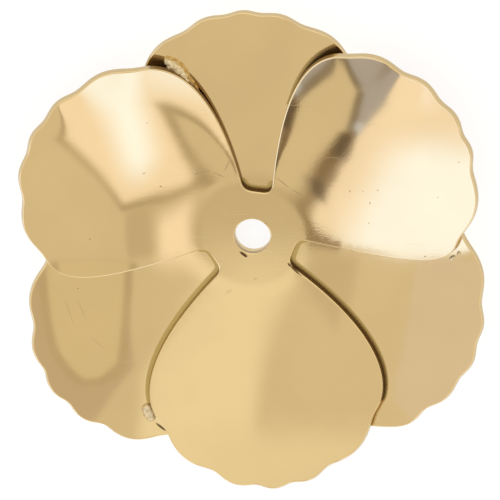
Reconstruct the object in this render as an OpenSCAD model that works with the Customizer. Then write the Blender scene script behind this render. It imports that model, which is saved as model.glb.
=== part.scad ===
// Flower charm of two stampings in thin polished brass sheet.
// Each stamping has a flat hub and three cupped petals with a scalloped rim.
// The front one is turned 60 degrees to the back one, and three drops of solder hold its petals on.
// The origin is the middle of the hole on the back face. +Z is the flower's axis, towards the viewer,
// and +Y is the top petal.

/* [Sheet] */
// Thickness of the sheet
sheet_t = 0.4; // [0.3:0.05:0.5]
// Gap between the two hubs
layer_gap = 0.05; // [0.02:0.01:0.1]

/* [Hub] */
// Diameter of the centre hole
hole_d = 2; // [1:0.1:3]
// Radius of the flat middle, where the petals start to rise
flat_r = 2.8; // [2.7:0.1:4]

/* [Petals] */
// From the middle of the hole to a petal's tip
petal_reach = 14; // [12:0.5:18]
// Radius of the fan-shaped end of a petal
fan_r = 6.7; // [6:0.1:7]
// Height that a petal's tip rises above the hub
petal_rise = 2.4; // [1.6:0.1:4]
// Swell of a scallop, as a share of its width
scallop_swell = 0.18; // [0.05:0.01:0.25]
// Angle between a petal's axis and its straight side at the hub
side_angle = 48; // [45:1:52]

/* [Notches] */
// From the middle of the hole to the floor of a notch between two petals
notch_r = 2.5; // [2.3:0.05:2.6]
// Half the width of a notch's floor
notch_half_w = 0.78; // [0.6:0.02:0.9]
// Rounding of a notch's corners
notch_corner = 0.5; // [0.2:0.1:0.6]

/* [Solder] */
// Radius of a drop of solder
drop_r = 0.42; // [0.3:0.02:0.5]

/* [Hidden] */

// Columns of the petal tables. The sizes are what one petal has more than the driving size.
DIRECTION = 0; // of the petal's axis, from +X
REACH = 1;     // more reach
FAN = 2;       // more radius of the fan
RISE = 3;      // more rise
VALLEYS = 4;   // angles of the six valleys between scallops, seen from the fan's centre

BACK_PETALS = [
    // top, lower left, lower right
    [89, -0.75, -0.05, -1, [-53, -25, -4, 13, 35, 65]],
    [220.5, 0.15, -0.05, -0.2, [-70, -39, -16, 4, 25, 52]],
    [327, 0, 0.75, -0.2, [-40, -22, -1, 17, 35, 63]],
];
FRONT_PETALS = [
    // upper left, bottom, upper right
    [152, -0.5, 0.2, 0, [-57, -30, -9, 9, 32, 61]],
    [275, 0.1, -0.2, 0, [-63, -32, -9, 9, 29, 63]],
    [396, -0.15, 0.25, -0.2, [-66, -31, -13, 6, 28, 53]],
];

// Columns of the notch tables. Each row's petal has the row's notch on its clockwise side.
NOTCH_AT = 0;    // direction, from +X
NOTCH_OUT = 1;   // how much further out its floor lies than the driving size

BACK_NOTCHES = [[30, 0], [150, 0], [270, 0]];
FRONT_NOTCHES = [[83, 0.12], [212.5, 0.05], [339, -0.1]];

// Columns of the solder table: the drop's place, the back petal under it and the front petal over it
DROP_X = 0;
DROP_Y = 1;
DROP_UNDER = 2;
DROP_OVER = 3;
DROPS = [
    [-4.2, 10, 0, 0],
    [-3.6, 9.45, 0, 0],
    [-5.85, -9.95, 1, 1],
    [11.3, -0.5, 2, 2],
];

// How far the valleys lie out, as shares of the fan's radius: the shoulder ones, then the inner ones
VALLEY_SHARES = [1, 0.96, 0.97, 0.97, 0.96, 1];

// Handles of the curve along a petal's side: how long, and the angle at the shoulder
shoulder_handle = 1.3;
shoulder_angle = 133;
side_handle = 7.7;

scallop_steps = 7;
side_steps = 14;
corner_steps = 5;
hole_r = hole_d / 2;
front_z = sheet_t + layer_gap;
top_z = petal_rise + 2 * front_z + 1;
smooth = 180;
brass = [0.83, 0.71, 0.5];
pale_brass = [0.9, 0.79, 0.56];

function polar(r, a) = [r * cos(a), r * sin(a)];
function turned(p, a) = [p[0] * cos(a) - p[1] * sin(a), p[0] * sin(a) + p[1] * cos(a)];

// A cubic curve from a to d, with handles at b and c, without its last point
function cubic(a, b, c, d, steps) =
    [for (i = [0:steps - 1]) let (t = i / steps, s = 1 - t)
        s * s * s * a + 3 * s * s * t * b + 3 * s * t * t * c + t * t * t * d];

// An arc from a to b that swells to the right of the way by a share of the chord, without its last point
function swelling_arc(a, b, swell, steps) =
    let (
        half = 2 * atan(2 * swell),
        chord = norm(b - a),
        r = chord / 2 / sin(half),
        way = (b - a) / chord,
        right = [way[1], -way[0]],
        middle = (a + b) / 2 - right * r * cos(half)
    )
    [for (i = [0:steps - 1]) let (w = half * (2 * i / steps - 1))
        middle + r * (right * cos(w) + way * sin(w))];

function fan_radius(petal) = fan_r + petal[FAN];
function fan_centre(petal) = petal_reach + petal[REACH] - fan_radius(petal);

// The six valleys of a petal's rim, along its own axis
function valleys(petal) =
    [for (i = [0:5]) [fan_centre(petal), 0] + polar(VALLEY_SHARES[i] * fan_radius(petal), petal[VALLEYS][i])];

// The rim, from the clockwise shoulder to the other one
function rim(petal) =
    let (v = valleys(petal))
    [for (i = [0:4]) each swelling_arc(v[i], v[i + 1], scallop_swell, scallop_steps)];

// A corner of a notch. side is 1 for its counter-clockwise corner, and inset is the distance from
// the corner along the floor.
function corner_of(notch, side, inset = 0) =
    turned([notch_r + notch[NOTCH_OUT], side * (notch_half_w - inset)], notch[NOTCH_AT]);

// From the floor of the notch at the petal's clockwise side, round its corner and out to the
// shoulder. The notch's direction is taken from the petal's axis.
function clockwise_side(petal, notch) =
    let (
        floor_end = corner_of(notch, 1, notch_corner),
        corner = corner_of(notch, 1),
        start = corner + polar(notch_corner, -side_angle),
        shoulder = valleys(petal)[0]
    )
    concat(
        cubic(floor_end, (floor_end + 2 * corner) / 3, (start + 2 * corner) / 3, start, corner_steps),
        cubic(start, start + polar(side_handle, -side_angle),
            shoulder + polar(shoulder_handle, -shoulder_angle), shoulder, side_steps)
    );

// The same points for a mirrored petal, turned back
function flipped(points) = [for (i = [len(points) - 1:-1:0]) [points[i][0], -points[i][1]]];
function mirrored(petal) =
    [0, petal[REACH], petal[FAN], petal[RISE], [for (i = [5:-1:0]) -petal[VALLEYS][i]]];

// The flat outline of one petal with its share of the hub
module petal_blank(petal, notch, next_notch)
    rotate(petal[DIRECTION])
        polygon(concat(
            [[0, 0]],
            clockwise_side(petal, [notch[NOTCH_AT] - petal[DIRECTION], notch[NOTCH_OUT]]),
            rim(petal),
            [valleys(petal)[5]],
            flipped(clockwise_side(mirrored(petal),
                [petal[DIRECTION] - next_notch[NOTCH_AT], next_notch[NOTCH_OUT]]))
        ));

// The flat outline of the hub between the notches' floors
module hub_blank(notches)
    polygon([for (notch = notches, side = [-1, 1]) corner_of(notch, side, notch_corner)]);

// Radius of the arc along which a petal rises
function bend_r(petal) =
    let (run = petal_reach - flat_r, rise = petal_rise + petal[RISE])
    (run * run + rise * rise) / 2 / rise;

// The section of the dished sheet, from the axis out: flat, then an arc
module sheet_section(petal) {
    r = bend_r(petal);
    square([flat_r, sheet_t]);
    intersection() {
        translate([flat_r, 0])
            square([petal_reach, top_z]);
        translate([flat_r, r + sheet_t / 2])
            difference() {
                circle(r + sheet_t / 2, $fn = 4 * smooth);
                circle(r - sheet_t / 2, $fn = 4 * smooth);
            }
    }
}

module dished_sheet(petal)
    rotate_extrude($fn = smooth)
        sheet_section(petal);

module stamping(petals, notches) {
    for (i = [0:2])
        intersection() {
            linear_extrude(top_z)
                petal_blank(petals[i], notches[i], notches[(i + 1) % 3]);
            dished_sheet(petals[i]);
        }
    linear_extrude(sheet_t)
        hub_blank(notches);
}

// Height of a petal's face above its hub's back, at a distance from the flower's axis. side is 1 for
// the face towards the viewer, -1 for the back one.
function face_z(petal, from_axis, side) =
    bend_r(petal) + sheet_t / 2
        - sqrt(pow(bend_r(petal) - side * sheet_t / 2, 2) - pow(from_axis - flat_r, 2));

// A drop of solder halfway between two petals. It stays clear of the back one by the layers' gap.
module solder_drop(drop) {
    under = BACK_PETALS[drop[DROP_UNDER]];
    over = FRONT_PETALS[drop[DROP_OVER]];
    from_axis = norm([drop[DROP_X], drop[DROP_Y]]);
    middle_z = (face_z(under, from_axis, 1) + front_z + face_z(over, from_axis, -1)) / 2;
    difference() {
        translate([drop[DROP_X], drop[DROP_Y], middle_z])
            sphere(drop_r, $fn = 48);
        rotate_extrude($fn = smooth)
            difference() {
                translate([flat_r, 0])
                    square([petal_reach, top_z]);
                translate([flat_r, bend_r(under) + sheet_t / 2])
                    circle(bend_r(under) - sheet_t / 2 - layer_gap, $fn = 4 * smooth);
            }
    }
}

module hole()
    translate([0, 0, -1])
        cylinder(h = top_z + 2, r = hole_r, $fn = smooth);

module back_petals()
    color(brass)
        difference() {
            stamping(BACK_PETALS, BACK_NOTCHES);
            hole();
        }

module front_petals()
    color(pale_brass)
        difference() {
            union() {
                translate([0, 0, front_z])
                    stamping(FRONT_PETALS, FRONT_NOTCHES);
                for (drop = DROPS)
                    solder_drop(drop);
            }
            hole();
        }

back_petals();
front_petals();
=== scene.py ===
import cmath
import math
from collections import namedtuple

import bmesh
import bpy
from mathutils import Matrix, Vector
from mathutils.geometry import delaunay_2d_cdt
from mathutils.kdtree import KDTree


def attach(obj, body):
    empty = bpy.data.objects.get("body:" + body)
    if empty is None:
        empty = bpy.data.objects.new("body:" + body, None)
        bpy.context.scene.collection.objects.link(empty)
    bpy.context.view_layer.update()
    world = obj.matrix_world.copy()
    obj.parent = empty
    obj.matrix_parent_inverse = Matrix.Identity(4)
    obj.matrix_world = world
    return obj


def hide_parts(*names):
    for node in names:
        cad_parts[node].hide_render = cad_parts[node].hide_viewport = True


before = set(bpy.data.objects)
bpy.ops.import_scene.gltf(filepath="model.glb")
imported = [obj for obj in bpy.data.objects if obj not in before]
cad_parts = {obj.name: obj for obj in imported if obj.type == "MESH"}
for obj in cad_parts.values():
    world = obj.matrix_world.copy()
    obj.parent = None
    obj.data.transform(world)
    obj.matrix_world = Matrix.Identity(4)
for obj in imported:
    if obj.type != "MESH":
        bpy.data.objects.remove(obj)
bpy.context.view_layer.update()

# Camera. The flower lies face up and is seen from its top side, 20 degrees off its axis, through a
# long lens that keeps the petals nearly free of perspective.
off_axis = math.radians(20)
camera_side = math.radians(75)
camera_distance = 0.4
aim_point = Vector((0, 0, 0.00085))
frame_shift_right = -0.00013
frame_shift_up = -0.00076
lens_mm = 518.4
sensor_mm = 36
nearest_seen = 0.01
farthest_seen = 20

to_camera = Vector((
    math.cos(camera_side) * math.sin(off_axis),
    math.sin(camera_side) * math.sin(off_axis),
    math.cos(off_axis),
))
turn_to_camera = Vector((0, 0, 1)).rotation_difference(to_camera)
camera = bpy.data.objects.new("camera", bpy.data.cameras.new("camera"))
bpy.context.scene.collection.objects.link(camera)
camera.rotation_mode = "QUATERNION"
camera.rotation_quaternion = turn_to_camera
camera.location = (
    aim_point
    + camera_distance * to_camera
    + turn_to_camera @ Vector((frame_shift_right, frame_shift_up, 0))
)
camera.data.lens = lens_mm
camera.data.sensor_width = sensor_mm
camera.data.clip_start = nearest_seen
camera.data.clip_end = farthest_seen
bpy.context.scene.camera = camera

# Floor. A sheet of white acrylic, lit a little from below as on a product table, so that it stays
# pale and keeps only a faint shadow under the flower.
floor_reach = 3.0
floor_drop = 0.00002
floor_glow = 0.82
floor_white = 0.3
floor_roughness = 0.8
floor_gloss = 0.1

floor_mesh = bpy.data.meshes.new("floor")
floor_mesh.from_pydata(
    [(x * floor_reach, y * floor_reach, -floor_drop) for x, y in ((-1, -1), (1, -1), (1, 1), (-1, 1))],
    [],
    [(0, 1, 2, 3)],
)
floor = bpy.data.objects.new("floor", floor_mesh)
bpy.context.scene.collection.objects.link(floor)
acrylic = bpy.data.materials.new("white acrylic")
acrylic.use_nodes = True
acrylic_shader = acrylic.node_tree.nodes["Principled BSDF"]
acrylic_shader.inputs["Base Color"].default_value = (floor_white, floor_white, floor_white, 1)
acrylic_shader.inputs["Roughness"].default_value = floor_roughness
acrylic_shader.inputs["Specular IOR Level"].default_value = floor_gloss
acrylic_shader.inputs["Emission Color"].default_value = (1, 1, 1, 1)
acrylic_shader.inputs["Emission Strength"].default_value = floor_glow
floor_mesh.materials.append(acrylic)

# Studio light. The flower lies in a white tent whose walls are lit unevenly. Soft boxes and grey
# cards stand behind them, and the polished petals mirror each as a pool or a streak of light.
TENT_LIGHT = (0.75, 0.67, 0.57)

# A card is given by its corners, as the sideways part of the direction from flower to corner, the
# width over which its edge fades, and its light. A box may have a lamp, a brighter patch inside it.
LIGHT_CARDS = [
    # corners, fade, light, and the same three of the lamp
    # the tent's walls
    ([(-0.13, -0.3), (-0.04, -0.3), (0.1, -0.11), (0.2, 0.03), (0.23, 0.15), (0.26, 0.8), (-0.055, 0.8)],
     0.06, (0.94, 0.88, 0.78), None),
    ([(-0.135, -0.332), (-0.06, -0.332), (-0.02, -0.27), (-0.13, -0.27)], 0.045, (0.94, 0.88, 0.78), None),
    ([(-0.5, 0.25), (0.1, 0.25), (0.1, 0.9), (-0.5, 0.9)], 0.2, (0.88, 0.82, 0.71), None),
    ([(-0.95, -0.3), (-0.28, -0.29), (-0.28, -0.1), (-0.46, 0.1), (-0.46, 0.6), (-0.95, 0.6)],
     0.01, (0.77, 0.7, 0.69), None),
    ([(-0.28, -0.29), (-0.12, -0.31), (-0.28, -0.1)], 0.03, (0.66, 0.58, 0.49), None),
    ([(-0.07, -0.31), (0.19, -0.27), (0.8, -0.2), (0.8, 0.5), (0.24, 0.5), (0.22, 0.1), (0.1, -0.11)],
     0.02, (0.62, 0.53, 0.465), None),
    ([(-0.2, -0.9), (0.1, -0.9), (0.0, -0.42), (-0.1, -0.36)], 0.02, (0.73, 0.65, 0.55), None),
    # the camera's side of the tent, which the flat hub mirrors
    ([(-0.15, -0.37), (-0.05, -0.37), (-0.05, -0.325), (-0.15, -0.325)], 0.03, (0.65, 0.57, 0.47), None),
    # a window in the right wall, with its frame
    ([(0.155, -0.27), (0.465, -0.27), (0.475, -0.1), (0.46, 0.01), (0.43, 0.07), (0.39, 0.1),
      (0.32, 0.095), (0.25, 0.05)],
     0.015, (0.57, 0.49, 0.39), None),
    ([(0.183, -0.27), (0.44, -0.27), (0.45, -0.1), (0.435, 0.0), (0.41, 0.05), (0.38, 0.075),
      (0.33, 0.07), (0.268, 0.02)],
     0.015, (0.75, 0.67, 0.54), None),
    # a grey flag in two parts, its dark margin and a blue glint on it
    ([(-0.28, -0.555), (-0.318, -0.56), (-0.45, -0.735), (-0.42, -0.8), (-0.325, -0.68), (-0.3, -0.61)],
     0.012, (0.47, 0.48, 0.64), None),
    ([(-0.46, -0.745), (-0.325, -0.7), (-0.27, -0.75), (-0.2, -0.76), (-0.2, -0.95), (-0.5, -0.95)],
     0.02, (0.42, 0.41, 0.54), None),
    ([(-0.281, -0.556), (-0.302, -0.558), (-0.323, -0.612), (-0.345, -0.685), (-0.326, -0.69),
      (-0.299, -0.61)],
     0.01, (0.27, 0.23, 0.2), None),
    ([(-0.295, -0.55), (-0.315, -0.555), (-0.34, -0.6), (-0.315, -0.6)], 0.015, (0.62, 0.7, 1.05), None),
    # the left soft box
    ([(-0.13, -0.332), (-0.4, -0.288), (-0.56, -0.3), (-0.9, -0.42), (-0.9, -0.85), (-0.55, -0.85)],
     0.015, (1.05, 0.97, 1.0),
     ([(-0.2, -0.27), (-0.9, -0.27), (-0.9, -0.6), (-0.43, -0.58)], 0.14, (1.16, 1.33, 1.9))),
    # the left soft box's stand, with two dark joints in its pole
    ([(-0.104, -0.341), (-0.114, -0.336), (-0.21, -0.408), (-0.1625, -0.4)],
     0.008, (0.28, 0.21, 0.14), None),
    ([(-0.2, -0.402), (-0.166, -0.396), (-0.192, -0.455), (-0.278, -0.565), (-0.314, -0.572),
      (-0.284, -0.505), (-0.24, -0.447)],
     0.01, (0.22, 0.16, 0.11), None),
    ([(-0.158, -0.388), (-0.192, -0.384), (-0.207, -0.425), (-0.174, -0.43)],
     0.014, (0.11, 0.08, 0.06), None),
    ([(-0.238, -0.492), (-0.268, -0.482), (-0.302, -0.55), (-0.276, -0.562)],
     0.014, (0.11, 0.08, 0.06), None),
    ([(-0.112, -0.33), (-0.125, -0.32), (-0.22, -0.305), (-0.23, -0.318), (-0.125, -0.342)],
     0.008, (0.3, 0.22, 0.15), None),
    # the right soft box in its frame
    ([(-0.035, -0.39), (0.2, -0.39), (0.6, -0.83), (0.5, -1.0), (0.267, -1.0)],
     0.012, (0.5, 0.42, 0.33), None),
    ([(-0.05, -0.39), (-0.035, -0.385), (0.005, -0.44), (-0.003, -0.455)], 0.01, (0.4, 0.32, 0.24), None),
    ([(0.002, -0.415), (0.2, -0.41), (0.57, -0.83), (0.5, -1.0), (0.289, -1.0)],
     0.025, (1.05, 0.96, 0.95),
     ([(0.11, -0.47), (0.19, -0.47), (0.4, -1.0), (0.26, -1.0)], 0.1, (1.16, 1.34, 1.9))),
    # the small soft box in its frame
    ([(-0.08, -0.315), (0.185, -0.28), (0.185, -0.385), (-0.02, -0.395)], 0.02, (0.64, 0.56, 0.47), None),
    ([(-0.05, -0.29), (0.085, -0.27), (0.085, -0.37), (-0.01, -0.385)], 0.06, (1.1, 1.0, 0.98), None),
]

# Low down the tent is open to the bright room all round, which the petals' edges catch.
ROOM_LIGHT = (1.3, 1.25, 1.15)
room_from = 0.88
room_full = 0.93

studio = bpy.data.worlds.new("studio")
bpy.context.scene.world = studio
studio.use_nodes = True
studio_tree = studio.node_tree
direction = studio_tree.nodes.new("ShaderNodeTexCoord").outputs["Generated"]


def give(tree, socket, value):
    """Links an input to a socket, or sets it to a plain value."""
    if isinstance(value, bpy.types.NodeSocket):
        tree.links.new(value, socket)
    else:
        socket.default_value = value


def maths(tree, operation, *values):
    node = tree.nodes.new("ShaderNodeMath")
    node.operation = operation
    for socket, value in zip(node.inputs, values):
        give(tree, socket, value)
    return node.outputs[0]


def vector_maths(tree, operation, vector, other=None):
    node = tree.nodes.new("ShaderNodeVectorMath")
    node.operation = operation
    give(tree, node.inputs[0], vector)
    if other is not None:
        give(tree, node.inputs["Scale" if operation == "SCALE" else 1], other)
    return node.outputs["Value" if operation in ("LENGTH", "DOT_PRODUCT") else "Vector"]


def ranged(tree, value, low, high, to_low=0.0, to_high=1.0):
    """The value's soft step between low and high, as a number between two others."""
    node = tree.nodes.new("ShaderNodeMapRange")
    node.interpolation_type = "SMOOTHSTEP"
    names = ("Value", "From Min", "From Max", "To Min", "To Max")
    for name, given in zip(names, (value, low, high, to_low, to_high)):
        give(tree, node.inputs[name], given)
    return node.outputs["Result"]


def cover_of(corners, fade):
    """1 inside a card's outline and 0 outside."""
    if sum(a[0] * b[1] - a[1] * b[0] for a, b in zip(corners, corners[1:] + corners[:1])) < 0:
        corners = corners[::-1]
    cover = 1.0
    for corner, next_corner in zip(corners, corners[1:] + corners[:1]):
        along = (Vector(next_corner) - Vector(corner)).normalized()
        inward = Vector((-along.y, along.x, 0))
        edge = inward.xy.dot(Vector(corner))
        reach = vector_maths(studio_tree, "DOT_PRODUCT", direction, inward)
        inside = ranged(studio_tree, reach, edge - fade / 2, edge + fade / 2)
        cover = maths(studio_tree, "MULTIPLY", inside, cover)
    return cover


def laid_over(tree, below, above, cover):
    """One light or colour laid over another where the cover is 1. Each is three numbers or a socket."""
    card = tree.nodes.new("ShaderNodeMix")
    card.data_type = "RGBA"
    give(tree, card.inputs["Factor"], cover)
    for name, colour in (("A_Color", below), ("B_Color", above)):
        socket = next(s for s in card.inputs if s.identifier == name)
        give(tree, socket, (*colour, 1) if isinstance(colour, tuple) else colour)
    return next(s for s in card.outputs if s.identifier == "Result_Color")


light_so_far = TENT_LIGHT
for corners, fade, light, lamp in LIGHT_CARDS:
    if lamp:
        lamp_corners, lamp_fade, lamp_light = lamp
        light = laid_over(studio_tree, light, lamp_light, cover_of(lamp_corners, lamp_fade))
    light_so_far = laid_over(studio_tree, light_so_far, light, cover_of(corners, fade))
sideways = vector_maths(studio_tree, "LENGTH", vector_maths(studio_tree, "MULTIPLY", direction, (1, 1, 0)))
in_room = ranged(studio_tree, sideways, room_from, room_full)
light_so_far = laid_over(studio_tree, light_so_far, ROOM_LIGHT, in_room)
studio_tree.links.new(light_so_far, studio_tree.nodes["Background"].inputs["Color"])
bpy.context.scene.view_settings.view_transform = "Standard"

# Back stamping. One piece of thin brass sheet, blanked to a hub with three scalloped petals, dished
# in a press so that the petals rise from a flat middle, and polished. It lies under the front one,
# and along the front one's edges it carries a band of painted shade.
MM = 0.001

# Sizes in mm and degrees, as in the part's source
sheet_t = 0.4
layer_gap = 0.05
hole_r = 1.0
flat_r = 2.8
petal_reach = 14.0
petal_rise = 2.4
fan_r = 6.7
VALLEY_SHARES = [1, 0.96, 0.97, 0.97, 0.96, 1]
side_angle = 48
side_handle = 7.7
shoulder_angle = 133
shoulder_handle = 1.3
notch_r = 2.5
notch_half_w = 0.78
notch_corner = 0.5

# The scallops, which are worn round, and what the press and the pliers left
scallop_swell = 0.185
valley_round = 0.3
hub_dish = 0.042
hub_dish_r = 6.0
waviness = 0.02
wave_length = 5.0
roll_width = 2.1
roll_narrow_end = 0.05
roll_slope = 0.1
roll_length = 7.2
roll_steepening = 0.35
rolled_scallops = 2

# The rounded edge, its steps, and as shares of it the flat band beside it and how far down the
# polish reaches
edge_round = 0.05
EDGE_TURNS = (0, 30, 60, 90)
edge_band = 1.6
edge_polished = 0.7

# How dark the cut edges are round the rim, the notches' floors and the hole, partly their own dull
# colour and partly painted shade, and how far from the notches' floors the band of painted shade on
# the back stamping reaches
rim_edge_and_shade = 0.4
floor_edge_and_shade = 1.0
back_hole_edge_and_shade = 0.3
floor_shade_reach = 0.3

# The brown coat on the front's underside, partly heat tint from the flame and partly painted shade
# of the gap between the layers, thin near the hub and full at the rim
film_and_shade_thin = 0.15
film_and_shade_from = 10.0
film_and_shade_full = 11.3

# The mesh's steps, and what the mesher does: it fills the inside and merges points this close
grid_step = 0.2
grid_clearance = 0.55
edge_rows = (0.16, 0.28)
scallop_steps = 14
corner_steps = 8
side_steps = 30
shoulder_steps = 6
hole_steps = 96
inside_only = 1
merge_within = 0.00001

# The distance that stands for no rolled side, or for nothing that the mop missed
far_away = 10.0

# A petal has its direction, how much more reach, fan radius and rise than the sizes above, and the
# angles of its rim's valleys. For its clockwise side and then its other side, it has how dark the cut
# edge is, partly its own dull colour and partly painted shade, and how strongly the side is rolled
# over. Last comes the band of painted shade that it lays on the sheet under it: beside what share of
# each side, from the rim in, and how wide the band is at the rim and at the inner end.
Petal = namedtuple("Petal", "direction reach fan rise valley_angles side_dark roll mop_missed")
BACK_PETALS = [
    # top, lower left, lower right
    Petal(89, -0.75, -0.05, -1, (-53, -25, -4, 13, 35, 65), (1, 1), (0, 0), (0, 0, 0, 0)),
    Petal(220.5, 0.15, -0.05, -0.2, (-70, -39, -16, 4, 25, 52), (1, 1), (0, 0), (0, 0, 0, 0)),
    Petal(327, 0, 0.75, -0.2, (-40, -22, -1, 17, 35, 63), (1, 1), (0, 0), (0, 0, 0, 0)),
]
FRONT_PETALS = [
    # upper left, bottom, upper right
    Petal(152, -0.5, 0.2, 0, (-57, -30, -9, 9, 32, 61), (0.8, 1), (0.86, 0), (0.24, 0, 0.5, 0.05)),
    Petal(275, 0.1, -0.2, 0, (-63, -32, -9, 9, 29, 63), (0.5, 1), (0, 0), (1, 1, 0.3, 0.3)),
    Petal(396, -0.15, 0.25, -0.2, (-66, -31, -13, 6, 28, 53), (1, 0.75), (0, 0.93), (0, 0.5, 0.45, 0.05)),
]

# A notch has its direction, and how much further out than the size above its floor lies.
Notch = namedtuple("Notch", "direction out")
BACK_NOTCHES = [Notch(30, 0), Notch(150, 0), Notch(270, 0)]
FRONT_NOTCHES = [Notch(83, 0.12), Notch(212.5, 0.05), Notch(339, -0.1)]


def polar(length, degrees):
    return cmath.rect(length, math.radians(degrees))


def cubic(a, b, c, d, steps):
    """Points of a cubic curve, without its last one."""
    shares = [i / steps for i in range(steps)]
    return [
        (1 - t) ** 3 * a + 3 * (1 - t) ** 2 * t * b + 3 * (1 - t) * t * t * c + t**3 * d
        for t in shares
    ]


def scallop(a, b):
    """An arc that swells to the right of the way from a to b, without its last point."""
    half = 2 * math.atan(2 * scallop_swell)
    radius = abs(b - a) / 2 / math.sin(half)
    way = (b - a) / abs(b - a)
    right = -1j * way
    middle = (a + b) / 2 - right * radius * math.cos(half)
    turns = [half * (2 * i / scallop_steps - 1) for i in range(scallop_steps)]
    return [middle + radius * right * cmath.exp(1j * turn) for turn in turns]


def valleys(petal):
    radius = fan_r + petal.fan
    centre = petal_reach + petal.reach - radius
    angled_shares = zip(VALLEY_SHARES, petal.valley_angles)
    return [centre + polar(share * radius, angle) for share, angle in angled_shares]


def notch_corner_at(notch, inset=0.0):
    return complex(notch_r + notch.out, notch_half_w - inset) * polar(1, notch.direction)


def clockwise_side(petal, notch):
    """From the floor of the petal's clockwise notch round its corner and out to the shoulder."""
    floor_end = notch_corner_at(notch, notch_corner)
    corner = notch_corner_at(notch)
    start = corner + polar(notch_corner, -side_angle)
    shoulder = valleys(petal)[0]
    before_shoulder = shoulder + polar(shoulder_handle, -shoulder_angle)
    bend = cubic(floor_end, (floor_end + 2 * corner) / 3, (start + 2 * corner) / 3, start, corner_steps)
    side = cubic(start, start + polar(side_handle, -side_angle), before_shoulder, shoulder, side_steps)
    return bend + side


def worn_round(points, reach):
    """The same row of points with its corners rounded over about a reach, its ends kept."""
    step = abs(points[-1] - points[-2])
    for _ in range(round(2 * (reach / step) ** 2)):
        middle = [(a + 2 * b + c) / 4 for a, b, c in zip(points, points[1:], points[2:])]
        points = points[:1] + middle + points[-1:]
    return points


def blank_outline(petals, notches):
    """The blank's flat outline, counter-clockwise, in mm, how dark its cut edge is, partly as painted
    shade, its rolled sides, and the lines beside which the sheet under it gets a band of painted
    shade, with how wide the band is."""
    outline, edges_and_shade, rolled, missed, corners = [], [], [], [], []
    for petal, notch, next_notch in zip(petals, notches, notches[1:] + notches[:1]):
        mirrored = petal._replace(valley_angles=[-angle for angle in reversed(petal.valley_angles)])
        own_notch = notch._replace(direction=notch.direction - petal.direction)
        mirrored_notch = next_notch._replace(direction=petal.direction - next_notch.direction)
        way_out = clockwise_side(petal, own_notch)
        way_back = clockwise_side(mirrored, mirrored_notch)
        tips = valleys(petal)
        rim = [p for a, b in zip(tips, tips[1:]) for p in scallop(a, b)]
        own = way_out + rim + [tips[-1]] + [p.conjugate() for p in reversed(way_back)]
        first, last = len(way_out) - shoulder_steps, len(own) - len(way_back) + shoulder_steps
        own[first:last] = worn_round(own[first:last], valley_round)
        own = [p * polar(1, petal.direction) for p in own]
        side_end = first + rolled_scallops * scallop_steps
        side_start = last - rolled_scallops * scallop_steps
        sides = (own[corner_steps:side_end], own[side_start:-corner_steps])
        rolled += [side for side, strength in zip(sides, petal.roll) if strength]
        side_dark, other_side_edge_and_shade = petal.side_dark
        edges_and_shade += [floor_edge_and_shade] * corner_steps
        edges_and_shade += [side_dark] * (first - corner_steps)
        edges_and_shade += [rim_edge_and_shade] * (last - first)
        edges_and_shade += [other_side_edge_and_shade] * (len(own) - last - corner_steps)
        edges_and_shade += [floor_edge_and_shade] * corner_steps
        share, other_share, reach, inner_reach = petal.mop_missed
        way_in = own[round(first * (1 - share)):first][::-1]
        other_way_in = own[last:round(last + other_share * (len(own) - last))]
        for way in (way_in, other_way_in):
            for k, pair in enumerate(zip(way, way[1:])):
                missed.append((pair, reach + (inner_reach - reach) * k / len(way)))
        corners.append((own[:corner_steps], own[-corner_steps:]))
        outline += own
    floors = [(corners[i - 1][1] + corners[i][0], floor_shade_reach) for i in range(len(corners))]
    return outline, edges_and_shade, rolled, missed + floors


def inset_loop(loop, distance):
    """The same closed loop moved to its left, with mitred corners."""
    moved = []
    for before, here, after in zip(loop[-1:] + loop[:-1], loop, loop[1:] + loop[:1]):
        left_in = 1j * (here - before) / abs(here - before)
        left_out = 1j * (after - here) / abs(after - here)
        mitre = left_in + left_out
        moved.append(here + distance * mitre * 2 / abs(mitre) ** 2)
    return moved


def tree_of(points):
    tree = KDTree(len(points))
    for i, p in enumerate(points):
        tree.insert((p.real, p.imag, 0), i)
    tree.balance()
    return tree


def inner_points(outline, hole):
    """Points on a triangular grid inside the outline, clear of its edges and of the hole."""
    edges = list(zip(outline, outline[1:] + outline[:1]))
    rims = tree_of(outline + hole)
    row_step = grid_step * math.sqrt(3) / 2
    lowest = min(p.imag for p in outline)
    rows = int((max(p.imag for p in outline) - lowest) / row_step)
    points = []
    for row in range(rows):
        y = lowest + (row + 0.5) * row_step
        crossings = sorted(
            a.real + (y - a.imag) / (b.imag - a.imag) * (b.real - a.real)
            for a, b in edges
            if (a.imag > y) != (b.imag > y)
        )
        stagger = 0.5 * (row % 2)
        for left, right in zip(crossings[::2], crossings[1::2]):
            first = math.ceil(left / grid_step - stagger)
            last = math.floor(right / grid_step - stagger)
            for column in range(first, last + 1):
                here = complex((column + stagger) * grid_step, y)
                clear = rims.find((here.real, here.imag, 0))[2] > grid_clearance * grid_step
                if clear and abs(here) > abs(hole[0]):
                    points.append(here)
    return points


def gaps_to(line, places):
    """The distance of each place from a line of points."""
    near_line = tree_of(line)
    gaps = []
    for place in places:
        near = near_line.find((place.real, place.imag, 0))[1]
        stretch = line[max(near - 1, 0):near + 2]
        legs = []
        for a, b in zip(stretch, stretch[1:]):
            share = ((place - a) / (b - a)).real
            legs.append(abs(place - a - min(max(share, 0), 1) * (b - a)))
        gaps.append(min(legs))
    return gaps


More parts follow.
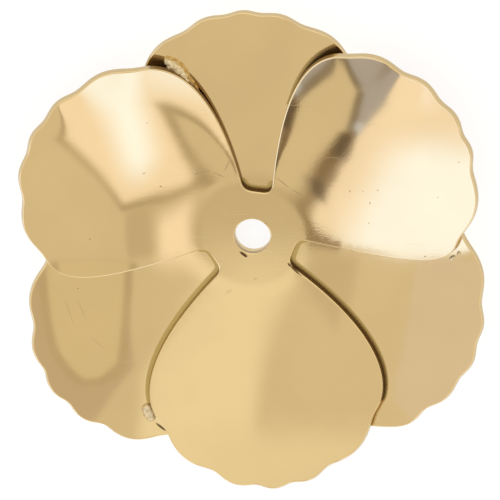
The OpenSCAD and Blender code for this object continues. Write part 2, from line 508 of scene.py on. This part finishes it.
def blank_mesh(name, outline, hole):
    """The flat blank, as thick as the sheet, with rounded edges, and its points' places in mm."""
    half = sheet_t / 2
    turns = [math.radians(a) for a in EDGE_TURNS]
    shoulder = [(edge_round * (1 - math.sin(a)), half - edge_round * (1 - math.cos(a))) for a in turns]
    rings = [(edge_band * edge_round, half)] + shoulder
    rings += [(inset, -height) for inset, height in reversed(rings)]
    face_outline = inset_loop(outline, rings[0][0])
    face_hole = inset_loop(hole, rings[0][0])
    near_edge = [inset_loop(outline, distance) for distance in edge_rows]
    flat = face_outline + face_hole + sum(near_edge, []) + inner_points(near_edge[-1], face_hole)
    count = len(outline)
    loops = [(i, (i + 1) % count) for i in range(count)]
    loops += [(count + i, count + (i + 1) % hole_steps) for i in range(hole_steps)]
    plan, _, triangles, origin, _, _ = delaunay_2d_cdt(
        [Vector((p.real, p.imag)) for p in flat], loops, [], inside_only, merge_within
    )
    place = {old: new for new, olds in enumerate(origin) for old in olds}
    hole_edge = abs(face_hole[0])
    kept = [t for t in triangles if (plan[t[0]] + plan[t[1]] + plan[t[2]]).length / 3 > hole_edge]
    points = [(p.x, p.y, half) for p in plan] + [(p.x, p.y, -half) for p in plan]
    faces = [tuple(t) for t in kept] + [tuple(i + len(plan) for i in reversed(t)) for t in kept]
    for loop, first in ((outline, 0), (hole, count)):
        size = len(loop)
        above = [place[first + i] for i in range(size)]
        for inset, height in rings[1:]:
            if (inset, height) == rings[-1]:
                below = [place[first + i] + len(plan) for i in range(size)]
            else:
                below = range(len(points), len(points) + size)
                points += [(p.real, p.imag, height) for p in inset_loop(loop, inset)]
            for i in range(size):
                j = (i + 1) % size
                faces.append((above[i], below[i], below[j], above[j]))
            above = below
    mesh = bpy.data.meshes.new(name)
    mesh.from_pydata([Vector(p) * MM for p in points], [], faces)
    return mesh, points


def petal_at(place, petals, notches):
    """The petal whose two notches a place lies between."""
    angle = math.degrees(cmath.phase(place))
    for petal, notch, next_notch in zip(petals, notches, notches[1:] + notches[:1]):
        if (angle - notch.direction) % 360 < (next_notch.direction - notch.direction) % 360:
            return petal


def stamping_blank(name, petals, notches, hole_edge_and_shade, shaded_underside, missed):
    """A blank with what each point needs in the press and for its finish: the petal's bend, its
    distance from a rolled side and the roll's strength, how much it is a cut edge, partly painted
    shade, or lies under the brown coat of heat tint and painted shade on the underside, and its
    distance from the lines beside which a band of painted shade lies on it, as a share of the band's
    width there."""
    outline, edges_and_shade, rolled, _ = blank_outline(petals, notches)
    hole = [polar(hole_r, -360 * i / hole_steps) for i in range(hole_steps)]
    mesh, points = blank_mesh(name, outline, hole)
    half = sheet_t / 2
    places = [complex(x, y) for x, y, _ in points]
    rims = tree_of(outline)
    bends, cuts_and_shade, film_and_shades, rolls = [], [], [], []
    for here, (x, y, z) in zip(places, points):
        petal = petal_at(here, petals, notches)
        run, rise = petal_reach - flat_r, petal_rise + petal.rise
        bends.append((run * run + rise * rise) / 2 / rise * MM)
        on_hole = abs(here) < hole_r + 2 * edge_round
        edge_and_shade_here = hole_edge_and_shade if on_hole else edges_and_shade[rims.find((x, y, 0))[1]]
        on_cut = -half < z < half - edge_polished * edge_round
        cuts_and_shade.append(edge_and_shade_here if on_cut else 0.0)
        out_share = min(max((abs(here) - film_and_shade_from) / (film_and_shade_full - film_and_shade_from), 0), 1)
        film_and_shade = film_and_shade_thin + (1 - film_and_shade_thin) * out_share
        film_and_shades.append(film_and_shade if shaded_underside and z == -half else 0.0)
        rolls.append(max(petal.roll))
    roll_gaps = [min(gaps) for gaps in zip(*(gaps_to(side, places) for side in rolled))]
    beside = [[gap / reach for gap in gaps_to(line, places)] for line, reach in missed]
    shade_shares = [min(shares) for shares in zip(*beside)]
    for label, values in (
        ("bend_radius", bends),
        ("cut_edge_and_shade", cuts_and_shade),
        ("film_and_shade", film_and_shades),
        ("roll_strength", rolls),
        ("roll_gap", [gap * MM for gap in roll_gaps or [far_away] * len(points)]),
        ("shade_share", shade_shares or [far_away] * len(points)),
    ):
        mesh.attributes.new(label, "FLOAT", "POINT").data.foreach_set("value", values)
    return mesh


def named_attribute(tree, name):
    node = tree.nodes.new("GeometryNodeInputNamedAttribute")
    node.data_type = "FLOAT"
    node.inputs["Name"].default_value = name
    return node.outputs["Attribute"]


def joined(tree, x, y, z):
    node = tree.nodes.new("ShaderNodeCombineXYZ")
    for socket, value in zip(node.inputs, (x, y, z)):
        give(tree, socket, value)
    return node.outputs[0]


def press_tree(name, sizes):
    """The press: lifts the petals of a flat blank on an arc, dishes the hub and rolls a side over."""
    tree = bpy.data.node_groups.new(name, "GeometryNodeTree")
    tree.interface.new_socket("Blank", in_out="INPUT", socket_type="NodeSocketGeometry")
    for label in sizes:
        tree.interface.new_socket(label, in_out="INPUT", socket_type="NodeSocketFloat")
    tree.interface.new_socket("Metal", in_out="INPUT", socket_type="NodeSocketMaterial")
    tree.interface.new_socket("Stamping", in_out="OUTPUT", socket_type="NodeSocketGeometry")
    given = tree.nodes.new("NodeGroupInput").outputs
    position = tree.nodes.new("GeometryNodeInputPosition").outputs[0]
    parts = tree.nodes.new("ShaderNodeSeparateXYZ")
    tree.links.new(position, parts.inputs[0])
    x, y, through = parts.outputs
    plan = joined(tree, x, y, 0.0)
    from_axis = vector_maths(tree, "LENGTH", plan)

    # the arc: where the sheet's middle comes to lie, and the way square to it
    bend = named_attribute(tree, "bend_radius")
    past_flat = maths(tree, "MAXIMUM", maths(tree, "SUBTRACT", from_axis, given["Flat radius"]), 0.0)
    sine = maths(tree, "DIVIDE", past_flat, bend)
    cosine = maths(tree, "SQRT", maths(tree, "SUBTRACT", 1.0, maths(tree, "MULTIPLY", sine, sine)))
    inward = maths(tree, "MULTIPLY", maths(tree, "DIVIDE", sine, from_axis), -1.0)
    x_inward = maths(tree, "MULTIPLY", x, inward)
    y_inward = maths(tree, "MULTIPLY", y, inward)
    square_way = joined(tree, x_inward, y_inward, cosine)
    height = maths(tree, "SUBTRACT", bend, maths(tree, "MULTIPLY", bend, cosine))
    middle = joined(tree, x, y, maths(tree, "ADD", height, given["Lift"]))

    # small waves left by the press
    waves = tree.nodes.new("ShaderNodeTexNoise")
    waves.inputs["Detail"].default_value = 1.0
    tree.links.new(plan, waves.inputs["Vector"])
    give(tree, waves.inputs["Scale"], maths(tree, "DIVIDE", 1.0, given["Wave length"]))
    wave = maths(tree, "MULTIPLY", maths(tree, "SUBTRACT", waves.outputs[0], 0.5), given["Waviness"])
    on_petal = ranged(tree, past_flat, 0.0, given["Flat radius"])
    out = maths(tree, "ADD", through, maths(tree, "MULTIPLY", wave, on_petal))

    # the rolled side, wider and steeper further out
    outward = maths(tree, "MINIMUM", maths(tree, "DIVIDE", past_flat, given["Roll length"]), 1.0)
    widening = ranged(tree, outward, 0.0, 1.0, given["Roll narrow end"], 1.0)
    width = maths(tree, "MULTIPLY", given["Roll width"], widening)
    off_edge = maths(tree, "DIVIDE", named_attribute(tree, "roll_gap"), width)
    in_roll = maths(tree, "MAXIMUM", maths(tree, "SUBTRACT", 1.0, off_edge), 0.0)
    steepening = maths(tree, "POWER", outward, given["Roll steepening"])
    slope = maths(tree, "MULTIPLY", given["Roll slope"], steepening)
    slope = maths(tree, "MULTIPLY", slope, named_attribute(tree, "roll_strength"))
    drop = maths(tree, "MULTIPLY", maths(tree, "MULTIPLY", slope, width), 0.5)
    drop_here = maths(tree, "MULTIPLY", maths(tree, "MULTIPLY", in_roll, in_roll), drop)
    out = maths(tree, "SUBTRACT", out, drop_here)

    # the hub's shallow dish
    hub_share = maths(tree, "MINIMUM", maths(tree, "DIVIDE", from_axis, given["Hub dish radius"]), 1.0)
    in_hub = maths(tree, "SUBTRACT", 1.0, maths(tree, "MULTIPLY", hub_share, hub_share))
    raised = maths(tree, "SUBTRACT", 1.0, maths(tree, "MULTIPLY", in_hub, in_hub))
    out = maths(tree, "ADD", out, maths(tree, "MULTIPLY", raised, given["Hub dish"]))

    press = tree.nodes.new("GeometryNodeSetPosition")
    tree.links.new(given["Blank"], press.inputs["Geometry"])
    shift = vector_maths(tree, "SCALE", square_way, out)
    tree.links.new(vector_maths(tree, "ADD", middle, shift), press.inputs["Position"])
    realize = tree.nodes.new("GeometryNodeRealizeInstances")
    tree.links.new(press.outputs[0], realize.inputs[0])
    finish = tree.nodes.new("GeometryNodeSetMaterial")
    tree.links.new(realize.outputs[0], finish.inputs["Geometry"])
    tree.links.new(given["Metal"], finish.inputs["Material"])
    tree.links.new(finish.outputs[0], tree.nodes.new("NodeGroupOutput").inputs[0])
    return tree


def made_by(tree, obj, values):
    """Runs a node tree on an object and leaves the result as its plain mesh, with smooth faces."""
    modifier = obj.modifiers.new(tree.name, "NODES")
    modifier.node_group = tree
    for socket in tree.interface.items_tree:
        if socket.name in values:
            modifier[socket.identifier] = values[socket.name]
    seen = obj.evaluated_get(bpy.context.evaluated_depsgraph_get())
    mesh = bpy.data.meshes.new_from_object(seen)
    obj.modifiers.clear()
    obj.data = mesh
    for polygon in mesh.polygons:
        polygon.use_smooth = True


def pressed_stamping(name, blank, lift, metal):
    obj = bpy.data.objects.new(name, blank)
    bpy.context.scene.collection.objects.link(obj)
    sizes = {
        "Flat radius": flat_r * MM,
        "Lift": lift * MM,
        "Hub dish": hub_dish * MM,
        "Hub dish radius": hub_dish_r * MM,
        "Waviness": waviness * MM,
        "Wave length": wave_length * MM,
        "Roll width": roll_width * MM,
        "Roll narrow end": roll_narrow_end,
        "Roll slope": roll_slope,
        "Roll length": roll_length * MM,
        "Roll steepening": roll_steepening,
    }
    made_by(press_tree(name + " press", sizes), obj, {**sizes, "Metal": metal})
    return obj


# Finish of the brass. Scales are in waves to a metre, or cells for the pits, and a span is where a
# soft step starts and where it ends.
BRASS = (0.88, 0.7, 0.38)
TONE_SCALE = (220, 220, 220)
tone_turn = 20
TONE_SPAN = (0.3, 0.7)
TONE_LIGHTNESS = (0.97, 1.02)
TONE_ROUGHNESS = (0.05, 0.07)
GRAIN_SCALE = (260, 9000, 600)
PEEL_SCALE = (11000, 11000, 11000)
HAIR_SCALE = (300, 16000, 400)
hair_turn = 35
HAIR_SPAN = (0.74, 0.8)
pit_scale = 600
PIT_SPAN = (0.06, 0.02)
PIT_PICK_SPAN = (0.9, 0.92)
pit_depth = 0.4
nick_core = 0.5
shade_raggedness = 0.15
SHADE_BAND_SPAN = (1.12, 0.88)
relief_height = 0.0016 * MM
grain_relief = 0.1
peel_relief = 0.15
stretched_relief = 0.25
hair_relief = 0.15
nick_relief = 0.8

# What lies over the polish: its colour, and how much rougher it is. The band beside the front
# sheet's edges is painted shade; the cut edges and the underside's brown coat are partly painted shade
BESIDE_EDGE_SHADE = ((0.6, 0.45, 0.17), 0.2)
CUT_EDGE_AND_SHADE = ((0.15, 0.08, 0.035), 0.35)
FILM_AND_SHADE = ((0.3, 0.17, 0.09), 0.4)
NICKED = ((0.13, 0.07, 0.03), 0.25)


def mapped(tree, place, turn, scale):
    """The place turned, and measured in another scale along each axis."""
    mapping = tree.nodes.new("ShaderNodeMapping")
    mapping.inputs["Rotation"].default_value = (0, 0, math.radians(turn))
    mapping.inputs["Scale"].default_value = scale
    tree.links.new(place, mapping.inputs["Vector"])
    return mapping.outputs[0]


def noise(tree, place, detail):
    node = tree.nodes.new("ShaderNodeTexNoise")
    node.inputs["Scale"].default_value = 1.0
    node.inputs["Detail"].default_value = detail
    tree.links.new(place, node.inputs["Vector"])
    return node.outputs[0]


def nicks_in(tree, place, rows):
    """How deep in a nick each place is. A row is a flat spindle's place, half sizes, turn and depth."""
    deepest = 0.0
    for across, up, half_length, half_width, turn, depth in rows:
        spindle = tree.nodes.new("ShaderNodeMapping")
        spindle.vector_type = "TEXTURE"
        spindle.inputs["Location"].default_value = (across * MM, up * MM, 0)
        spindle.inputs["Rotation"].default_value = (0, 0, math.radians(turn))
        spindle.inputs["Scale"].default_value = (half_length * MM, half_width * MM, 1)
        tree.links.new(place, spindle.inputs["Vector"])
        off_middle = vector_maths(tree, "LENGTH", spindle.outputs[0])
        deepest = maths(tree, "MAXIMUM", ranged(tree, off_middle, 1.0, nick_core, 0.0, depth), deepest)
    return deepest


def polished_brass(name, grain_turn, nicks, stretches):
    """Brass from the rolling mill, polished: fine grain one way, faint hairs, pits, nicks and tone,
    and orange peel where the press or the pliers stretched it."""
    metal = bpy.data.materials.new(name)
    metal.use_nodes = True
    tree = metal.node_tree
    shader = tree.nodes["Principled BSDF"]
    shader.inputs["Metallic"].default_value = 1.0
    place = tree.nodes.new("ShaderNodeTexCoord").outputs["Object"]

    def attribute(label):
        node = tree.nodes.new("ShaderNodeAttribute")
        node.attribute_name = label
        return node.outputs["Fac"]

    tone = noise(tree, mapped(tree, place, tone_turn, TONE_SCALE), detail=3.0)
    grain = noise(tree, mapped(tree, place, grain_turn, GRAIN_SCALE), detail=2.0)
    peel = noise(tree, mapped(tree, place, 0, PEEL_SCALE), detail=2.0)
    hairs = noise(tree, mapped(tree, place, grain_turn + hair_turn, HAIR_SCALE), detail=1.0)
    hair = ranged(tree, hairs, *HAIR_SPAN)
    pits = tree.nodes.new("ShaderNodeTexVoronoi")
    pits.inputs["Scale"].default_value = pit_scale
    tree.links.new(place, pits.inputs["Vector"])
    pit_pick = tree.nodes.new("ShaderNodeSeparateColor")
    tree.links.new(pits.outputs["Color"], pit_pick.inputs[0])
    pit = maths(
        tree, "MULTIPLY",
        ranged(tree, pits.outputs["Distance"], *PIT_SPAN),
        ranged(tree, pit_pick.outputs[0], *PIT_PICK_SPAN),
    )
    nick = maths(tree, "MAXIMUM", nicks_in(tree, place, nicks), maths(tree, "MULTIPLY", pit, pit_depth))
    stretched = nicks_in(tree, place, stretches)
    # A band of painted shade beside the front sheet's edges, with a ragged border
    ragged = maths(tree, "ADD", attribute("shade_share"), maths(tree, "MULTIPLY", peel, shade_raggedness))
    shade_beside_edges = ranged(tree, ragged, *SHADE_BAND_SPAN)

    colour = vector_maths(tree, "SCALE", BRASS, ranged(tree, tone, *TONE_SPAN, *TONE_LIGHTNESS))
    rough = ranged(tree, tone, *TONE_SPAN, *TONE_ROUGHNESS)
    # The first three colours are painted shade, wholly or in part
    for share, (tint, rougher) in (
        (shade_beside_edges, BESIDE_EDGE_SHADE),
        (attribute("cut_edge_and_shade"), CUT_EDGE_AND_SHADE),
        (attribute("film_and_shade"), FILM_AND_SHADE),
        (nick, NICKED),
    ):
        colour = laid_over(tree, colour, tint, share)
        rough = maths(tree, "ADD", rough, maths(tree, "MULTIPLY", share, rougher))
    give(tree, shader.inputs["Base Color"], colour)
    give(tree, shader.inputs["Roughness"], rough)

    relief = maths(tree, "MULTIPLY", grain, grain_relief)
    coarse = maths(tree, "ADD", maths(tree, "MULTIPLY", stretched, stretched_relief), peel_relief)
    relief = maths(tree, "ADD", relief, maths(tree, "MULTIPLY", peel, coarse))
    relief = maths(tree, "SUBTRACT", relief, maths(tree, "MULTIPLY", hair, hair_relief))
    relief = maths(tree, "SUBTRACT", relief, maths(tree, "MULTIPLY", nick, nick_relief))
    bump = tree.nodes.new("ShaderNodeBump")
    bump.inputs["Strength"].default_value = 1.0
    bump.inputs["Distance"].default_value = relief_height
    tree.links.new(relief, bump.inputs["Height"])
    tree.links.new(bump.outputs[0], shader.inputs["Normal"])
    return metal


back_grain_turn = 4
BACK_NICKS = [
    # across, up, half length, half width and turn, in mm and degrees, and depth
    (-10.24, -4.35, 1.0, 0.05, -73, 0.12),
    (-9.55, -4.3, 0.75, 0.05, -69, 0.12),
    (-8.7, -6.2, 0.7, 0.05, -44, 0.12),
    (-9.76, -3.04, 0.06, 0.04, 0, 0.5),
    (-5.2, -10.99, 0.46, 0.08, -38, 0.9),
]
# The lines along the front sheet's edges beside which the back one gets a band of painted shade
front_edge_shade_lines = blank_outline(FRONT_PETALS, FRONT_NOTCHES)[3]
back_blank = stamping_blank(
    "back_stamping", BACK_PETALS, BACK_NOTCHES, back_hole_edge_and_shade, shaded_underside=False, missed=front_edge_shade_lines
)
back_metal = polished_brass("back stamping brass", back_grain_turn, BACK_NICKS, stretches=[])
back_stamping = pressed_stamping("back_stamping", back_blank, sheet_t / 2, back_metal)
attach(back_stamping, "root")
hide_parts("back_petals")

# Front stamping. The second piece of the same sheet, turned a sixth of a round, with its hub on the
# back one's. Its top notch was opened wider by hand, which rolled the sides of the two upper petals
# over. Its underside has a brown coat, partly heat tint from the soldering flame and partly painted
# shade of the gap between the layers, and tools left a few nicks.
# How dark the front hole's cut edge is, partly its own dull colour and partly painted shade
front_hole_edge_and_shade = 0.7
front_grain_turn = 88
FRONT_NICKS = [
    # across, up, half length, half width and turn, in mm and degrees, and depth
    (-0.52, -1.06, 0.3, 0.11, -36, 1.0),
    (-0.4, -1.16, 0.14, 0.1, -36, 1.0),
    (2.35, -1.95, 0.5, 0.08, -44, 0.9),
    (2.05, -1.65, 0.18, 0.09, -50, 0.9),
    (2.6, -2.2, 0.2, 0.05, -40, 0.6),
    (6.6, 2.16, 0.1, 0.04, 80, 0.5),
    (5.48, 2.81, 0.1, 0.03, 70, 0.5),
    (6.21, 2.85, 0.1, 0.03, -60, 0.4),
    (7.05, 2.96, 0.05, 0.05, 0, 0.6),
    (11.63, 5.11, 0.06, 0.05, 0, 0.5),
    (10.42, 2.85, 0.06, 0.04, 0, 0.5),
    (6.52, 0.97, 0.05, 0.05, 0, 0.4),
    (9.66, -0.72, 0.07, 0.05, 0, 0.5),
    (-5.94, 3.74, 0.12, 0.04, 10, 0.4),
    (-5.03, 2.93, 0.1, 0.04, -20, 0.5),
    (-5.68, 6.78, 0.05, 0.05, 0, 0.4),
    (-9.0, -0.05, 0.06, 0.05, 0, 0.5),
    (-2.55, 3.83, 0.37, 0.035, -9, 0.4),
    (-1.8, 3.6, 0.43, 0.035, -24, 0.45),
    (-1.32, 4.17, 0.49, 0.035, 66, 0.35),
    (-3.02, 3.7, 0.2, 0.12, 40, 0.3),
    (1.74, 3.19, 0.54, 0.035, -40, 0.35),
    (2.51, 2.64, 0.41, 0.035, -29, 0.35),
    (-1.35, -3.27, 0.25, 0.12, 30, 0.12),
    (0.14, -2.51, 0.15, 0.08, 30, 0.12),
]
FRONT_STRETCHES = [
    # the same numbers for the stretched places
    (4.3, 4.6, 3.2, 1.1, 57, 1.0),
    (2.6, 8.6, 2.6, 0.9, 66, 1.0),
    (3.6, 0.4, 1.4, 0.6, -20, 0.8),
    (-2.7, 3.7, 1.2, 0.7, 20, 0.6),
]
front_blank = stamping_blank(
    "front_stamping", FRONT_PETALS, FRONT_NOTCHES, front_hole_edge_and_shade, shaded_underside=True, missed=[]
)
front_metal = polished_brass("front stamping brass", front_grain_turn, FRONT_NICKS, FRONT_STRETCHES)
front_lift = sheet_t + layer_gap + sheet_t / 2
front_stamping = pressed_stamping("front_stamping", front_blank, front_lift, front_metal)
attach(front_stamping, "root")
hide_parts("front_petals")

# Solder. Small lumps of brazing solder that hold the front petals to the back ones at three places.
# It was melted from paste, so its skin is lumpy and full of grains.
SOLDER_LUMPS = [
    # across, up, height, half length, half width, half height, in mm, and turn in degrees
    (-4.42, 10.26, 1.36, 0.28, 0.2, 0.26, -42),
    (-4.18, 10.03, 1.36, 0.34, 0.33, 0.28, -43),
    (-3.93, 9.76, 1.34, 0.34, 0.34, 0.28, -46),
    (-3.7, 9.48, 1.33, 0.32, 0.28, 0.27, -50),
    (-3.5, 9.24, 1.33, 0.28, 0.16, 0.27, -52),
    (-3.24, 8.96, 1.27, 0.34, 0.1, 0.25, -54),
    (-2.98, 8.54, 1.2, 0.32, 0.08, 0.23, -58),
    (-5.96, -9.92, 1.95, 0.28, 0.3, 0.28, -62),
    (-5.86, -10.15, 1.95, 0.3, 0.34, 0.29, -62),
    (-5.76, -10.39, 1.97, 0.26, 0.28, 0.27, -62),
    (11.2, -0.8, 1.68, 0.22, 0.12, 0.14, 30),
    (11.55, -0.5, 1.75, 0.16, 0.1, 0.13, 50),
]
GRAIN_SIZES = {
    "Grain radius": 0.04 * MM,
    "Grains to a square metre": 2e7,
    "Roughening": 0.08 * MM,
    "Roughening scale": 5000.0,
}
grain_seed = 7
smallest_grain = 0.4
largest_grain = 1.2
grain_fineness = 3
lump_fineness = 5
CLEAN_SOLDER = (0.86, 0.75, 0.5)
DIRTY_SOLDER = (0.7, 0.59, 0.37)
solder_metallic = 0.75
SOLDER_SCALE = (5000, 5000, 5000)
DIRT_SPAN = (0.55, 0.35)
SOLDER_ROUGHNESS = (0.6, 0.42)


def grain_tree(name, sizes):
    """Roughens the lumps, scatters grains of many sizes over them and makes all one mesh."""
    tree = bpy.data.node_groups.new(name, "GeometryNodeTree")
    tree.interface.new_socket("Lumps", in_out="INPUT", socket_type="NodeSocketGeometry")
    for label in sizes:
        tree.interface.new_socket(label, in_out="INPUT", socket_type="NodeSocketFloat")
    tree.interface.new_socket("Metal", in_out="INPUT", socket_type="NodeSocketMaterial")
    tree.interface.new_socket("Solder", in_out="OUTPUT", socket_type="NodeSocketGeometry")
    given = tree.nodes.new("NodeGroupInput").outputs
    bumps = tree.nodes.new("ShaderNodeTexNoise")
    give(tree, bumps.inputs["Scale"], given["Roughening scale"])
    height = maths(tree, "MULTIPLY", maths(tree, "SUBTRACT", bumps.outputs[0], 0.5), given["Roughening"])
    normal = tree.nodes.new("GeometryNodeInputNormal").outputs[0]
    rough = tree.nodes.new("GeometryNodeSetPosition")
    give(tree, rough.inputs["Geometry"], given["Lumps"])
    give(tree, rough.inputs["Offset"], vector_maths(tree, "SCALE", normal, height))
    scatter = tree.nodes.new("GeometryNodeDistributePointsOnFaces")
    give(tree, scatter.inputs["Mesh"], rough.outputs[0])
    give(tree, scatter.inputs["Density"], given["Grains to a square metre"])
    give(tree, scatter.inputs["Seed"], grain_seed)
    grain = tree.nodes.new("GeometryNodeMeshIcoSphere")
    give(tree, grain.inputs["Radius"], given["Grain radius"])
    give(tree, grain.inputs["Subdivisions"], grain_fineness)
    share = tree.nodes.new("FunctionNodeRandomValue")
    share.data_type = "FLOAT"
    lowest, highest = (next(s for s in share.inputs if s.identifier == i) for i in ("Min_001", "Max_001"))
    give(tree, lowest, smallest_grain)
    give(tree, highest, largest_grain)
    give(tree, share.inputs["Seed"], grain_seed)
    size = next(s for s in share.outputs if s.identifier == "Value_001")
    grains = tree.nodes.new("GeometryNodeInstanceOnPoints")
    give(tree, grains.inputs["Points"], scatter.outputs["Points"])
    give(tree, grains.inputs["Instance"], grain.outputs["Mesh"])
    give(tree, grains.inputs["Scale"], size)
    both = tree.nodes.new("GeometryNodeJoinGeometry")
    give(tree, both.inputs[0], rough.outputs[0])
    give(tree, both.inputs[0], grains.outputs[0])
    realize = tree.nodes.new("GeometryNodeRealizeInstances")
    give(tree, realize.inputs[0], both.outputs[0])
    finish = tree.nodes.new("GeometryNodeSetMaterial")
    give(tree, finish.inputs["Geometry"], realize.outputs[0])
    give(tree, finish.inputs["Material"], given["Metal"])
    give(tree, tree.nodes.new("NodeGroupOutput").inputs[0], finish.outputs[0])
    return tree


solder_metal = bpy.data.materials.new("brazing solder")
solder_metal.use_nodes = True
solder_tree = solder_metal.node_tree
solder_shader = solder_tree.nodes["Principled BSDF"]
solder_shader.inputs["Metallic"].default_value = solder_metallic
solder_place = solder_tree.nodes.new("ShaderNodeTexCoord").outputs["Object"]
solder_tone = noise(solder_tree, mapped(solder_tree, solder_place, 0, SOLDER_SCALE), detail=3.0)
solder_dirt = ranged(solder_tree, solder_tone, *DIRT_SPAN)
solder_colour = laid_over(solder_tree, CLEAN_SOLDER, DIRTY_SOLDER, solder_dirt)
solder_rough = ranged(solder_tree, solder_tone, *TONE_SPAN, *SOLDER_ROUGHNESS)
give(solder_tree, solder_shader.inputs["Base Color"], solder_colour)
give(solder_tree, solder_shader.inputs["Roughness"], solder_rough)

lumps = bmesh.new()
for across, up, high, half_length, half_width, half_height, turn in SOLDER_LUMPS:
    place = Matrix.LocRotScale(
        Vector((across, up, high)) * MM,
        Matrix.Rotation(math.radians(turn), 3, "Z"),
        Vector((half_length, half_width, half_height)) * MM,
    )
    bmesh.ops.create_icosphere(lumps, subdivisions=lump_fineness, radius=1, matrix=place)
solder_mesh = bpy.data.meshes.new("solder")
lumps.to_mesh(solder_mesh)
lumps.free()
solder = bpy.data.objects.new("solder", solder_mesh)
bpy.context.scene.collection.objects.link(solder)
made_by(grain_tree("solder grains", GRAIN_SIZES), solder, {**GRAIN_SIZES, "Metal": solder_metal})
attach(solder, "root")
